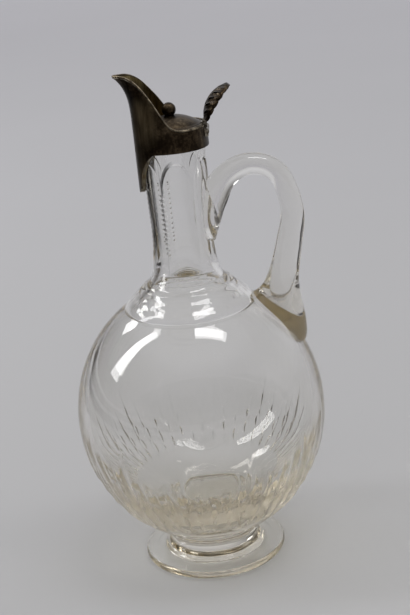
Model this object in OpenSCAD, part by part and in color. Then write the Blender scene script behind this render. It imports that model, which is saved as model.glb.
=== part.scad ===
// Claret jug: a blown and cut glass body on an applied foot, with an applied
// glass handle, a metal spout mount cemented on the neck and a hinged domed lid.
// Millimetres, +Z up. The origin is the centre of the foot's underside.
// The spout points along -X and the handle along +X.

/* [Glass body] */
// Radius of the bulb at its widest
bulb_r = 70; // [66:1:74]
// Height of the widest ring of the bulb
bulb_mid_z = 88; // [86:1:90]
// Half of the bulb's height
bulb_half_h = 75; // [74:0.5:76]
// Height at which the bulb ends under the shoulder's steps
shoulder_z = 152; // [151.5:0.5:152.5]
// Height of the narrowest part of the neck
waist_z = 195; // [190:1:200]
// Outer radius of the neck at its waist
waist_r = 16.5; // [16:0.1:17]
// Outer radius of the neck inside the mount
neck_r = 17.2; // [17:0.1:17.4]
// Height of the glass lip
lip_z = 245.5; // [245:0.1:245.6]
// Wall of the neck
neck_wall = 3.8; // [3:0.1:5]
// Wall of the bulb at its widest
bulb_wall = 5.5; // [4:0.5:7]
// Height of the bottom of the hollow
hollow_z = 31; // [28:1:34]

/* [Glass foot] */
// Radius of the foot
foot_r = 40.7; // [39:0.1:42]
// Thickness of the foot's rounded rim
foot_edge = 4.4; // [4:0.1:5]
// Radius of the short stem between foot and bulb
stem_r = 25.4; // [25:0.1:26]
// Height of the top of the stem
stem_z = 18.2; // [18:0.1:18.4]

/* [Glass handle] */
// Height of the top of the handle's arch, along its centre line
arch_z = 227; // [225:0.5:228]
// Distance of the outermost part of the handle from the jug's axis
reach_x = 60.6; // [58:0.2:63]
// Radius of the round glass rod at the top of the arch
rod_r = 5.9; // [5:0.1:6.4]
// Half of the length of the seal on the shoulder
seal_half = 21; // [18:0.5:22]

/* [Spout mount] */
// Outer radius of the collar
collar_r = 19.5; // [19.3:0.1:19.8]
// Thickness of the metal
mount_wall = 1.3; // [1.3:0.1:1.5]
// Height of the collar's lower edge
collar_low_z = 240; // [239:0.5:241]
// Height of the collar's upper edge
collar_top_z = 251; // [250.9:0.1:251.1]
// Height of the spout's tip
tip_z = 280; // [276:1:284]
// Distance of the spout's tip from the jug's axis
tip_x = 27.8; // [26:0.2:30]
// Height of the lowest point of the tongue below the spout
tongue_z = 217.5; // [214:0.5:222]

/* [Hinge] */
// Distance of the hinge from the jug's axis
hinge_x = 18.6; // [18.4:0.1:18.8]
// Height of the hinge
hinge_z = 248.2; // [248.1:0.1:248.3]
// Outer radius of the knuckles
knuckle_r = 1.75; // [1.6:0.05:1.8]
// Radius of the hinge pin
pin_r = 0.8; // [0.7:0.05:0.9]
// Half of the width of the whole hinge
hinge_half = 7.5; // [7:0.1:7.6]
// Half of the width of the lid's knuckle
middle_half = 2.6; // [2.4:0.1:3]

/* [Lid] */
// Radius of the lid's flat rim
lid_r = 17.4; // [17:0.1:17.4]
// Height of the top of the dome
dome_z = 257.4; // [257:0.1:258]
// Radius of the sphere that the dome is part of
dome_sphere_r = 27; // [26:0.5:28]
// Radius of the ball finial
ball_r = 3.8; // [3.6:0.1:4]
// Height of the centre of the ball finial
ball_z = 260.3; // [260:0.1:260.5]

/* [Thumbpiece] */
// Radius of the dished leaf's curve
leaf_curve_r = 17; // [16:0.5:18]
// Length of the leaf from stem to tip
leaf_len = 22.6; // [20:0.2:24]
// Half of the leaf's width
leaf_half_w = 10.6; // [9:0.2:11]
// Thickness of the leaf
leaf_wall = 1.2; // [1:0.1:1.6]

/* [Hidden] */

glass_tint = [0.80, 0.83, 0.80, 0.5];
silver_tint = [0.30, 0.28, 0.25];
cement_tint = [0.80, 0.78, 0.72];
running = 0.05;                         // radial gap between pin and lid knuckle
side_gap = 0.15;                        // gap between neighbouring knuckles
lid_gap = 0.15;                         // gap under the closed lid
round_fn = 96;
small_fn = 48;
far = 100;

// Cubic curve through a table of [key, value] rows, read at key t.
function row(table, i) = table[min(max(i, 0), len(table) - 1)];
function slope(table, i) =
    (row(table, i + 1)[1] - row(table, i - 1)[1])
    / (row(table, i + 1)[0] - row(table, i - 1)[0]);
function span(table, t, i = 0) =
    i >= len(table) - 2 || t < table[i + 1][0] ? i : span(table, t, i + 1);
function smooth(table, t) =
    let (i = span(table, t),
         a = table[i],
         b = table[i + 1],
         w = b[0] - a[0],
         u = min(max((t - a[0]) / w, 0), 1),
         ma = i == 0 ? 0 : slope(table, i) * w,
         mb = i == len(table) - 2 ? 0 : slope(table, i + 1) * w)
    (2 * pow(u, 3) - 3 * pow(u, 2) + 1) * a[1]
    + (pow(u, 3) - 2 * pow(u, 2) + u) * ma
    + (3 * pow(u, 2) - 2 * pow(u, 3)) * b[1]
    + (pow(u, 3) - pow(u, 2)) * mb;

// Half of an ellipse's outline, as [radius, height] between two angles.
function arc_points(rx, rz, cz, from, to, steps) =
    [for (i = [0:steps])
        let (a = from + (to - from) * i / steps)
        [rx * cos(a), cz + rz * sin(a)]];
// Points of a quadratic curve from a to c, pulled towards b.
function bend(a, b, c, steps) =
    [for (i = [1:steps])
        let (u = i / steps)
        pow(1 - u, 2) * a + 2 * u * (1 - u) * b + pow(u, 2) * c];

// Outline of the outside of bulb and neck, from the base up to the lip.
base_angle = asin((stem_z - bulb_mid_z) / bulb_half_h);
shoulder_angle = asin((shoulder_z - bulb_mid_z) / bulb_half_h);
neck_foot_z = waist_z - 16;
outer_bulb = arc_points(bulb_r, bulb_half_h, bulb_mid_z, base_angle, shoulder_angle, 28);
// Three rounded steps on the shoulder, each as [radius, height of its middle].
step_half = 1.7;
shoulder_steps = [[37.2, shoulder_z + 2.5], [31.4, shoulder_z + 6.4],
                  [26.2, shoulder_z + 10.2]];
function rounded_step(at) =
    [[at[0] - 0.5, at[1] - step_half], [at[0], at[1] - step_half * 0.5],
     [at[0], at[1] + step_half * 0.4], [at[0] - 0.4, at[1] + step_half * 0.8],
     [at[0] - 1.3, at[1] + step_half]];
outer_steps = [for (at = shoulder_steps) each rounded_step(at)];
outer_flare = bend([shoulder_steps[2][0] - 1.3, shoulder_steps[2][1] + step_half],
                   [waist_r + 2, shoulder_z + 14.5], [waist_r + 0.8, neck_foot_z], 10);
outer_neck = concat(bend([waist_r + 0.8, neck_foot_z], [waist_r, waist_z - 6],
                         [waist_r, waist_z + 2], 4),
                    bend([waist_r, waist_z + 2], [neck_r - 0.1, waist_z + 16],
                         [neck_r, collar_low_z - 6], 5));
outer_line = concat(outer_bulb, outer_steps, outer_flare, outer_neck, [[neck_r, lip_z]]);

// Outline of the hollow, from the bottom up to the lip.
bore_r = neck_r - neck_wall;
hollow_r = bulb_r - bulb_wall;
hollow_mid_z = bulb_mid_z + 2;
hollow_turn_z = shoulder_z - 4;
hollow_up = bulb_half_h - 5;
hollow_turn = asin((hollow_turn_z - hollow_mid_z) / hollow_up);
hollow_low = arc_points(hollow_r, hollow_mid_z - hollow_z, hollow_mid_z, -90, 0, 18);
hollow_top = arc_points(hollow_r, hollow_up, hollow_mid_z, 4, hollow_turn, 12);
hollow_flare = bend(hollow_top[12], [bore_r + 2, shoulder_z + 6],
                    [bore_r - 0.5, neck_foot_z - 2], 10);
hollow_line = concat(hollow_low, hollow_top, hollow_flare,
                     [[bore_r - 0.5, waist_z + 10], [bore_r, collar_low_z],
                      [bore_r, lip_z]]);

module glass_body() {
    color(glass_tint)
    rotate_extrude($fn = round_fn)
        difference() {
            polygon(concat([[0, stem_z]], outer_line, [[0, lip_z]]));
            polygon(concat(hollow_line, [[bore_r, lip_z + 1], [0, lip_z + 1]]));
        }
}

// The foot: a low dished disc with a rounded rim, rising into a short stem.
foot_round = 2.4;
module glass_foot() {
    rim = [for (p = arc_points(foot_round, foot_edge / 2, foot_edge / 2, -90, 100, 12))
        [foot_r - foot_round + p[0], p[1]]];
    rise = bend(rim[12], [stem_r + 5, foot_edge - 0.6], [stem_r + 0.8, foot_edge + 3.4], 8);
    top = bend([stem_r + 0.8, foot_edge + 3.4], [stem_r - 0.8, foot_edge + 7],
               [outer_bulb[0][0], stem_z], 6);
    color(glass_tint)
    rotate_extrude($fn = round_fn)
        polygon(concat([[0, 0]], rim, rise, top, [[0, stem_z]]));
}

// Stations along the handle's centre line, each read at the same keys:
// distance from the axis, height, thickness in the handle's plane, width
// across it and heading in degrees.
handle_x = [[0, waist_r - 0.2], [1, waist_r + 0.1], [2, 17.6], [3, 27], [4, 41], [5, 54.6],
            [6, reach_x], [7, reach_x - 2.9], [8, reach_x - 7.4], [9, 50.6],
            [10, 47.8], [11, 45.6]];
handle_z = [[0, 187], [1, 197], [2, 208], [3, arch_z - 5], [4, arch_z],
            [5, arch_z - 6.6], [6, arch_z - 27], [7, arch_z - 45],
            [8, arch_z - 63], [9, arch_z - 75], [10, 141.5], [11, 138]];
handle_t = [[0, 1.9], [1, 5.8], [2, 8.9], [3, rod_r + 0.7], [4, rod_r],
            [5, rod_r - 0.1], [6, rod_r + 0.3], [7, rod_r + 1.2],
            [8, rod_r + 2.5], [9, rod_r + 6.6], [10, seal_half - 0.6],
            [11, seal_half + 0.4]];
handle_w = [[0, 2.4], [1, 7.6], [2, 10.4], [3, 7.6], [4, rod_r + 0.3],
            [5, rod_r], [6, rod_r + 0.2], [7, rod_r + 0.8], [8, rod_r + 1.8],
            [9, rod_r + 4], [10, rod_r + 7.4], [11, rod_r + 8]];
handle_h = [[0, 85], [1, 81], [2, 74], [3, 40], [4, 0], [5, -45], [6, -92],
            [7, -106], [8, -104], [9, -112], [10, -130], [11, -136]];
// How far the handle's upper end is wrapped round the neck, from 0 to 1.
handle_wrap = [[0, 1], [1, 1], [2, 1], [3, 0], [4, 0], [11, 0]];
function wrapped(y) = waist_r - sqrt(pow(waist_r, 2) - pow(y, 2));
handle_keys = 11;
handle_steps = 44;
handle_sides = 24;
function handle_ring(t) =
    let (cx = smooth(handle_x, t),
         cz = smooth(handle_z, t),
         th = smooth(handle_t, t),
         wd = smooth(handle_w, t),
         hd = smooth(handle_h, t),
         wrap = smooth(handle_wrap, t))
    [for (k = [0:handle_sides - 1])
        let (a = 360 * k / handle_sides, y = wd * sin(a))
        [cx - th * cos(a) * sin(hd) - wrap * wrapped(y), y, cz + th * cos(a) * cos(hd)]];

// A closed skin over equal rings of points, capped at both ends.
module skin(rings) {
    n = len(rings[0]);
    last = len(rings) - 1;
    points = [for (ring = rings) for (p = ring) p];
    sides = [for (i = [0:last - 1]) for (k = [0:n - 1])
        let (k2 = (k + 1) % n)
        [i * n + k, i * n + k2, (i + 1) * n + k2, (i + 1) * n + k]];
    caps = [[for (k = [n - 1:-1:0]) k], [for (k = [0:n - 1]) last * n + k]];
    polyhedron(points, concat(sides, caps), convexity = 8);
}

module glass_handle() {
    color(glass_tint)
    difference() {
        skin([for (i = [0:handle_steps]) handle_ring(handle_keys * i / handle_steps)]);
        rotate_extrude($fn = round_fn)
            polygon(concat([[0, stem_z]], outer_line, [[0, lip_z]]));
    }
}

module ring(r_out, r_in, z_low, z_high) {
    translate([0, 0, z_low])
    difference() {
        cylinder(h = z_high - z_low, r = r_out, $fn = round_fn);
        translate([0, 0, -1])
            cylinder(h = z_high - z_low + 2, r = r_in, $fn = round_fn);
    }
}

liner_z = lip_z + 0.2;
module cement_bed() {
    color(cement_tint)
        ring(collar_r - mount_wall, neck_r, collar_low_z + 0.5, lip_z);
}

// The spout mount is one raised sheet, drawn as upright columns around the
// neck. Tables give its edges by the angle from the front: the radius and the
// height of the upper edge, and the height of the lower edge.
edge_r = [[0, tip_x], [7, 24.9], [12.5, 22.6], [21, 20.3], [34, 17.9], [49, 16.7],
          [61, 16.9], [70, 17.7], [78, 18.6], [85, 19.2],
          [92, collar_r], [180, collar_r]];
edge_z = [[0, tip_z], [7, tip_z - 0.2], [12.5, tip_z - 0.5], [21, tip_z - 1.7],
          [34, tip_z - 4.8], [49, tip_z - 9.4], [61, tip_z - 13.2],
          [70, tip_z - 16.4], [78, tip_z - 20], [85, tip_z - 23.6],
          [92, tip_z - 26.4], [102, collar_top_z + 0.6],
          [114, collar_top_z], [180, collar_top_z]];
tongue_edge_z = [[0, tongue_z], [14, tongue_z + 0.8], [21, tongue_z + 2.6],
                 [25, tongue_z + 5.5], [31, tongue_z + 11.5],
                 [44, collar_low_z - 4.8], [52, collar_low_z - 2],
                 [62, collar_low_z], [180, collar_low_z]];
front_swell = 0.7;                      // how far the front stands out of the round
bend_z = collar_low_z + 5;              // height from which the wall leans
mount_columns = 96;
mount_rows = 12;
function from_front(k) = abs(180 - 360 * k / mount_columns);
function swell(t) = t < 90 ? front_swell * pow(cos(t), 2) : 0;
function lean(t, z) =
    z <= bend_z ? 0
    : pow((z - bend_z) / (smooth(edge_z, t) - bend_z), t < 90 ? 2 + 3 * pow(cos(t), 2) : 2);
function mount_r(t, z) =
    let (base = collar_r + swell(t))
    base + (smooth(edge_r, t) - base) * lean(t, z);
function mount_inner(t, z) =
    let (backing = z < collar_low_z && t < 90 ? 0.7 * min((collar_low_z - z) / 6, 1) : 0)
    mount_r(t, z) - mount_wall - swell(t) * (z < bend_z ? 1 : 0.3) - backing;
function mount_ring(k) =
    let (t = from_front(k),
         a = 360 * k / mount_columns,
         low = smooth(tongue_edge_z, t),
         high = smooth(edge_z, t))
    concat([for (i = [0:mount_rows])
               let (z = low + (high - low) * i / mount_rows, r = mount_r(t, z))
               [r * cos(a), r * sin(a), z]],
           [for (i = [mount_rows:-1:0])
               let (z = low + (high - low) * i / mount_rows, r = mount_inner(t, z))
               [r * cos(a), r * sin(a), z]]);

// A closed skin over rings that run all the way round.
module loop_skin(rings) {
    n = len(rings[0]);
    m = len(rings);
    points = [for (ring = rings) for (p = ring) p];
    faces = [for (i = [0:m - 1]) for (k = [0:n - 1])
        let (i2 = (i + 1) % m, k2 = (k + 1) % n)
        each [[i * n + k, i2 * n + k, i2 * n + k2], [i * n + k, i2 * n + k2, i * n + k2]]];
    polyhedron(points, faces, convexity = 8);
}

notch_z = lip_z + 0.1;
module hinge_notch(grow = 0) {
    translate([hinge_x - 2.2 - grow, -hinge_half - grow, notch_z - grow])
        cube([far, 2 * (hinge_half + grow), far]);
}

module spout_mount() {
    color(silver_tint)
    difference() {
        loop_skin([for (k = [0:mount_columns - 1]) mount_ring(k)]);
        hinge_notch();
    }
}

// A fine wire soldered along the mount's upper edge.
wire_r = 0.55;
wire_sides = 8;
function wire_ring(k) =
    let (t = from_front(k),
         a = 360 * k / mount_columns,
         r = smooth(edge_r, t) - mount_wall * 0.35,
         z = smooth(edge_z, t) + wire_r)
    [for (j = [0:wire_sides - 1])
        let (b = 360 * j / wire_sides)
        [(r + wire_r * cos(b)) * cos(a), (r + wire_r * cos(b)) * sin(a),
         z + wire_r * sin(b)]];
module rim_wire() {
    color(silver_tint)
    difference() {
        loop_skin([for (k = [0:mount_columns - 1]) wire_ring(k)]);
        hinge_notch(0.4);
    }
}

// A tube inside the collar, standing on the glass lip: it seats the lid.
liner_wall = 1.5;
liner_r = collar_r - mount_wall;
module neck_liner() {
    color(silver_tint)
    difference() {
        union() {
            ring(liner_r, liner_r - liner_wall, liner_z, collar_top_z - lid_gap);
            ring(liner_r, bore_r, liner_z, liner_z + 1);
        }
        hinge_notch(0.1);
    }
}

module across(x, z, r, y_low, y_high) {
    translate([x, y_low, z])
    rotate([-90, 0, 0])
        cylinder(h = y_high - y_low, r = r, $fn = small_fn);
}

// A saddle soldered in the notch of the collar, which carries the knuckles.
module hinge_bearer() {
    color(silver_tint)
    difference() {
        translate([hinge_x - 2.1, -hinge_half, notch_z])
            cube([3.3, 2 * hinge_half, hinge_z - 0.4 - notch_z]);
        across(hinge_x, hinge_z, knuckle_r, -hinge_half - 1, hinge_half + 1);
        across(hinge_x, hinge_z, knuckle_r + 0.25,
               -middle_half - side_gap, middle_half + side_gap);
    }
}

module knuckle(y_low, y_high, bore) {
    difference() {
        across(hinge_x, hinge_z, knuckle_r, y_low, y_high);
        across(hinge_x, hinge_z, bore, y_low - 1, y_high + 1);
    }
}
module hinge_knuckle_near() {
    color(silver_tint)
        knuckle(-hinge_half, -middle_half - side_gap, pin_r);
}
module hinge_knuckle_far() {
    color(silver_tint)
        knuckle(middle_half + side_gap, hinge_half, pin_r);
}
module hinge_pin() {
    color(silver_tint)
        across(hinge_x, hinge_z, pin_r, -hinge_half, hinge_half);
}
module lid_knuckle() {
    color(silver_tint)
        knuckle(-middle_half, middle_half, pin_r + running);
}

// The strap joins the lid's rim to its knuckle and carries the thumbpiece.
rim_h = 1;
strap_half = middle_half - 0.1;
strap_top_z = collar_top_z + rim_h + 0.5;
module lid_strap() {
    color(silver_tint)
    difference() {
        translate([hinge_x - 2.4, -strap_half, hinge_z])
            cube([3.3, 2 * strap_half, strap_top_z - hinge_z]);
        across(hinge_x, hinge_z, knuckle_r, -far, far);
        cylinder(h = strap_top_z - 0.5, r = lid_r, $fn = round_fn);
        translate([hinge_x - 3, -far, 0])
            cube([1.25, 2 * far, hinge_z + knuckle_r]);
    }
}

module lid_rim() {
    color(silver_tint)
        ring(lid_r, lid_r - 1.8, collar_top_z, collar_top_z + rim_h);
}

dome_mid_z = dome_z - dome_sphere_r;
dome_wall = 0.9;
module lid_dome() {
    color(silver_tint)
    difference() {
        translate([0, 0, dome_mid_z])
            sphere(r = dome_sphere_r, $fn = round_fn);
        translate([0, 0, dome_mid_z])
            sphere(r = dome_sphere_r - dome_wall, $fn = round_fn);
        translate([-far, -far, -far])
            cube([2 * far, 2 * far, far + collar_top_z + rim_h]);
        translate([0, 0, collar_top_z])
            cylinder(h = far, r = stud_r, $fn = small_fn);
    }
}

bezel_drop = 2.6;
module lid_bezel() {
    color(silver_tint)
        ring(lid_r - 1.8, lid_r - 2.7, collar_top_z - bezel_drop, collar_top_z + rim_h);
}

stud_r = 0.8;
nut_h = 1.3;
nut_top_z = dome_z - dome_wall - 0.25;
module finial_ball() {
    color(silver_tint)
    difference() {
        translate([0, 0, ball_z])
            sphere(r = ball_r, $fn = small_fn);
        translate([0, 0, dome_mid_z])
            sphere(r = dome_sphere_r, $fn = round_fn);
        translate([0, 0, collar_top_z])
            cylinder(h = ball_z - collar_top_z, r = stud_r, $fn = small_fn);
    }
}
module finial_stud() {
    color(silver_tint)
    translate([0, 0, nut_top_z - nut_h - 0.6])
        cylinder(h = ball_z - nut_top_z + nut_h + 0.6, r = stud_r, $fn = small_fn);
}
module finial_nut() {
    color(silver_tint)
    translate([0, 0, nut_top_z - nut_h])
    difference() {
        cylinder(h = nut_h, r = 2.1, $fn = 6);
        translate([0, 0, -1])
            cylinder(h = nut_h + 2, r = stud_r, $fn = small_fn);
    }
}

// The leaf is dished. Its chord runs from the stem back over the handle.
leaf_base = [hinge_x - 0.6, collar_top_z + rim_h + 1.6];
leaf_lean = 52;                         // angle of the chord above level
leaf_mid_depth = sqrt(pow(leaf_curve_r, 2) - pow(leaf_len / 2, 2));
leaf_sag = leaf_curve_r - leaf_mid_depth;
stem_half = 1.9;
module thumb_stem() {
    color(silver_tint)
    translate([0, stem_half, 0])
    rotate([90, 0, 0])
    linear_extrude(height = 2 * stem_half)
        polygon([[leaf_base[0] - 1, strap_top_z], [leaf_base[0] + 1.4, strap_top_z],
                 [leaf_base[0] + 1, leaf_base[1] + 0.1],
                 [leaf_base[0] - 0.5, leaf_base[1] + 0.4]]);
}

// Places the leaf's own plane: X along the chord, Y across, Z to the back.
module in_leaf_plane() {
    translate([leaf_base[0], 0, leaf_base[1]])
    rotate([0, -leaf_lean, 0])
        children();
}
module dish() {
    translate([leaf_len / 2, 0, -leaf_mid_depth])
    difference() {
        sphere(r = leaf_curve_r, $fn = round_fn);
        sphere(r = leaf_curve_r - leaf_wall, $fn = round_fn);
    }
}
slot_count = 4;
slot_w = 1.2;
leaf_scallop = 0.5;                     // height of the small waves along its edge
module leaf_outline() {
    side = [for (i = [0:20])
        let (u = i / 20)
        [leaf_len * u, 1.5 - u + (leaf_half_w - 1.2) * pow(4 * u * (1 - u), 0.55)
         + leaf_scallop * abs(sin(180 * 5 * u))]];
    difference() {
        polygon(concat(side, [for (i = [20:-1:0]) [side[i][0], -side[i][1]]]));
        for (s = [-1, 1], i = [0:slot_count - 1])
            leaf_slot(s, leaf_len * (0.14 + 0.17 * i), 5.2 - 0.7 * abs(i - 1.5));
    }
}
module leaf_slot(s, u, length) {
    translate([u, s * 3.2])
    rotate(s * 60) {
        translate([0, -slot_w / 2])
            square([length, slot_w]);
        circle(d = slot_w, $fn = small_fn);
        translate([length, 0])
            circle(d = slot_w, $fn = small_fn);
    }
}
module thumb_leaf() {
    color(silver_tint)
    in_leaf_plane()
    intersection() {
        dish();
        translate([0, 0, -1])
        linear_extrude(height = leaf_sag + 3)
            leaf_outline();
    }
}

glass_body();
glass_foot();
glass_handle();
cement_bed();
spout_mount();
rim_wire();
neck_liner();
hinge_bearer();
hinge_knuckle_near();
hinge_knuckle_far();
hinge_pin();
lid_knuckle();
lid_strap();
lid_rim();
lid_dome();
lid_bezel();
finial_ball();
finial_stud();
finial_nut();
thumb_stem();
thumb_leaf();
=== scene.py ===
"""The claret jug, dressed: cut glass, tarnished mount, hinged lid and thumbpiece."""

import math

import bpy
import numpy as np
from mathutils import Matrix, Vector


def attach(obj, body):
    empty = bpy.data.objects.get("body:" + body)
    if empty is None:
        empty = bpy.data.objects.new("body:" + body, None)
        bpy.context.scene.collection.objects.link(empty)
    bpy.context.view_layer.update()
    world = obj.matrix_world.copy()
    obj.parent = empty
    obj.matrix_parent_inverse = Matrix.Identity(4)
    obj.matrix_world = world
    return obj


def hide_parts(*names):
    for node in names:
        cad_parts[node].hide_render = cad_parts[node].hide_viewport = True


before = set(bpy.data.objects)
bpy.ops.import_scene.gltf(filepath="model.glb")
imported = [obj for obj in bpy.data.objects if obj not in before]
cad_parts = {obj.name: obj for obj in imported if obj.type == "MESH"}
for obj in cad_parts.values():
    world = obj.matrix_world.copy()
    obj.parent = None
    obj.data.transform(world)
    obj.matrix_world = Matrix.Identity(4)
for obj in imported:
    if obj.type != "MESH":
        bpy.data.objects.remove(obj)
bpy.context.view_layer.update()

MM = 0.001


# --- Measures, in millimetres, as in the part's source ---------------------

BULB_R, BULB_MID_Z, BULB_HALF_H = 70.0, 88.0, 75.0
SHOULDER_Z, WAIST_Z, WAIST_R = 152.0, 195.0, 16.5
NECK_R, LIP_Z, BORE_R, HOLLOW_Z, HOLLOW_R = 17.2, 245.5, 13.4, 31.0, 64.5
NECK_FOOT_Z = WAIST_Z - 16
FOOT_R, FOOT_EDGE, STEM_R, STEM_Z = 40.7, 4.4, 25.4, 18.2
ARCH_Z, REACH_X, ROD_R, SEAL_HALF = 227.0, 60.6, 5.9, 21.0
COLLAR_R, MOUNT_WALL, COLLAR_LOW_Z, COLLAR_TOP_Z = 19.5, 1.3, 240.0, 251.0
TIP_Z, TIP_X, TONGUE_Z = 280.0, 27.8, 217.5
HINGE_X, HINGE_HALF = 18.6, 7.5
LID_R, LID_RIM_H, DOME_Z, DOME_SPHERE_R, DOME_WALL = 17.4, 1.0, 257.4, 27.0, 0.9
BALL_R, BALL_Z, STUD_R = 3.8, 260.3, 0.8
LEAF_CURVE_R, LEAF_LEN, LEAF_HALF_W, LEAF_WALL, LEAF_LEAN = 17.0, 22.6, 10.6, 1.2, 52.0
LEAF_BASE_X, LEAF_BASE_Z = HINGE_X - 0.6, COLLAR_TOP_Z + 2.6


# --- Curves and meshes -----------------------------------------------------

def smooth(table, t):
    """A cubic curve through rows of (key, value), read at t."""
    n = len(table)
    i = 0
    while i < n - 2 and t >= table[i + 1][0]:
        i += 1
    (x0, y0), (x1, y1) = table[i], table[i + 1]
    w = x1 - x0
    u = min(max((t - x0) / w, 0.0), 1.0)
    slope = lambda j: (table[j + 1][1] - table[j - 1][1]) / (table[j + 1][0] - table[j - 1][0])
    m0 = 0.0 if i == 0 else slope(i) * w
    m1 = 0.0 if i == n - 2 else slope(i + 1) * w
    return ((2 * u**3 - 3 * u**2 + 1) * y0 + (u**3 - 2 * u**2 + u) * m0
            + (3 * u**2 - 2 * u**3) * y1 + (u**3 - u**2) * m1)


def arc(rx, rz, cz, start, end, count):
    """Points of an upright half ellipse between two angles in degrees."""
    a = np.radians(np.linspace(start, end, count))
    return np.column_stack([rx * np.cos(a), cz + rz * np.sin(a)])


def bend(a, b, c, count):
    """Points of a quadratic curve from a to c pulled towards b, without a."""
    u = np.linspace(0, 1, count + 1)[1:, None]
    a, b, c = (np.array(p, float) for p in (a, b, c))
    return (1 - u)**2 * a + 2 * u * (1 - u) * b + u**2 * c


def line(a, b, count):
    """Points from a to b, without a."""
    u = np.linspace(0, 1, count + 1)[1:, None]
    return (1 - u) * np.array(a, float) + u * np.array(b, float)


def stitch(rings, closed_loop=False):
    """Joins rings of points into one skin. Neighbours have the same count,
    three times the count, or a single point."""
    starts, verts = [], []
    for ring in rings:
        starts.append(len(verts))
        verts.extend(ring)
    faces = []
    pairs = list(range(len(rings) - 1)) + ([len(rings) - 1] if closed_loop else [])
    for i in pairs:
        j = (i + 1) % len(rings)
        a, b, n, m = starts[i], starts[j], len(rings[i]), len(rings[j])
        if n == m:
            faces += [(a + k, a + (k + 1) % n, b + (k + 1) % n, b + k) for k in range(n)]
        elif n == 1:
            faces += [(a, b + (k + 1) % m, b + k) for k in range(m)]
        elif m == 1:
            faces += [(a + k, a + (k + 1) % n, b) for k in range(n)]
        elif m == 3 * n:
            for k in range(n):
                k1, f, f3 = (k + 1) % n, 3 * k, (3 * k + 3) % m
                faces += [(a + k, b + f + 1, b + f), (a + k, a + k1, b + f + 2, b + f + 1),
                          (a + k1, b + f3, b + f + 2)]
        else:
            for k in range(m):
                k1, f, f3 = (k + 1) % m, 3 * k, (3 * k + 3) % n
                faces += [(a + f, a + f + 1, b + k), (a + f + 1, a + f + 2, b + k1, b + k),
                          (a + f + 2, a + f3, b + k1)]
    return verts, faces


def capped(rings):
    """One skin through rings of points, each end closed to its ring's middle."""
    return stitch([rings[0].mean(axis=0)[None]] + rings + [rings[-1].mean(axis=0)[None]])


def piece(name, verts, faces, body=None, replaces=(), slot=None, material=None, soft_angle=35):
    """Makes a mesh object from points in millimetres and sets it on its body."""
    mesh = bpy.data.meshes.new(name)
    mesh.from_pydata((np.array(verts, float) * MM).tolist(), [], faces)
    mesh.validate()
    mesh.update()
    made = bpy.data.objects.new(name, mesh)
    bpy.context.collection.objects.link(made)
    finish_piece(made, body, replaces, material, soft_angle)
    return made


def finish_piece(made, body, replaces, material, soft_angle=35):
    if soft_angle:
        made.data.shade_smooth()
        made.data.set_sharp_from_angle(angle=math.radians(soft_angle))
    if body:
        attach(made, body)
    if replaces:
        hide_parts(*replaces)
    if material:
        made.data.materials.clear()
        made.data.materials.append(material)


def round_ring(r, z, count, turn=0.0):
    a = np.radians(turn) + np.arange(count) * 2 * np.pi / count
    return np.column_stack([r * np.cos(a), r * np.sin(a), np.full(count, z)])


def combine(base, tool, operation):
    """Joins a tool to a piece or cuts it away, and removes the tool."""
    step = base.modifiers.new(operation.lower(), "BOOLEAN")
    step.operation, step.object, step.solver = operation, tool, "MANIFOLD"
    graph = bpy.context.evaluated_depsgraph_get()
    result = bpy.data.meshes.new_from_object(base.evaluated_get(graph), depsgraph=graph)
    base.modifiers.clear()
    old, base.data = base.data, result
    bpy.data.meshes.remove(old)
    bpy.data.objects.remove(tool)


def block(low, high):
    """A plain box in millimetres, used only as a cutting tool."""
    x0, y0, z0 = low
    x1, y1, z1 = high
    verts = [(x0, y0, z0), (x1, y0, z0), (x1, y1, z0), (x0, y1, z0),
             (x0, y0, z1), (x1, y0, z1), (x1, y1, z1), (x0, y1, z1)]
    faces = [(3, 2, 1, 0), (4, 5, 6, 7), (0, 1, 5, 4), (1, 2, 6, 5), (2, 3, 7, 6), (3, 0, 4, 7)]
    return piece("tool", verts, faces, soft_angle=0)


# --- The glass: foot, bulb, neck -------------------------------------------

COARSE, FINE = 320, 960             # points around a plain ring, and around a cut one
FRONT = -90.0                       # the side towards the camera, as an angle about the axis
SPEAR_PITCH = 7.5                   # degrees from one tall spear on the bulb to the next
SPEAR_TURN = FRONT - SPEAR_PITCH    # the spear that has the first of these tips
SPEAR_TIPS = np.array([96.0, 83.0, 72.0, 85.0])
SPEAR_END_Z = 34.5
SPEAR_STEEP, SPEAR_FULL_HALF = 0.28, 3.6
LEAF_CUTS = ((41.5, 5.5, 2.2, 1.6), (50.5, 6.0, 2.4, 1.25), (60.0, 6.0, 2.3, 0.42))
LEAF_CUT_SHIFT = 4.5                # how much higher they are in every second column
STEP_RELIEF = 0.2                   # how far the shoulder's steps leave its plain slope
GROOVE_LEVELS = (167.7, 172.6, 178.6)
PANEL_PITCH = 60.0                  # degrees from one panel of the neck to the next
RIDGE_TURN = FRONT - 27.0           # one of the ridges between the panels
PANEL_TURN = RIDGE_TURN + PANEL_PITCH / 2
ARCH_FOOT_Z, ARCH_RISE, ARCH_HALF_TURN = 216.0, 19.0, 31.0
NOTCH_PITCH, NOTCH_FIRST_Z, NOTCH_LOW_Z, NOTCH_TOP_Z = 2.7, 185.4, 184.0, 218.0


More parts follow.
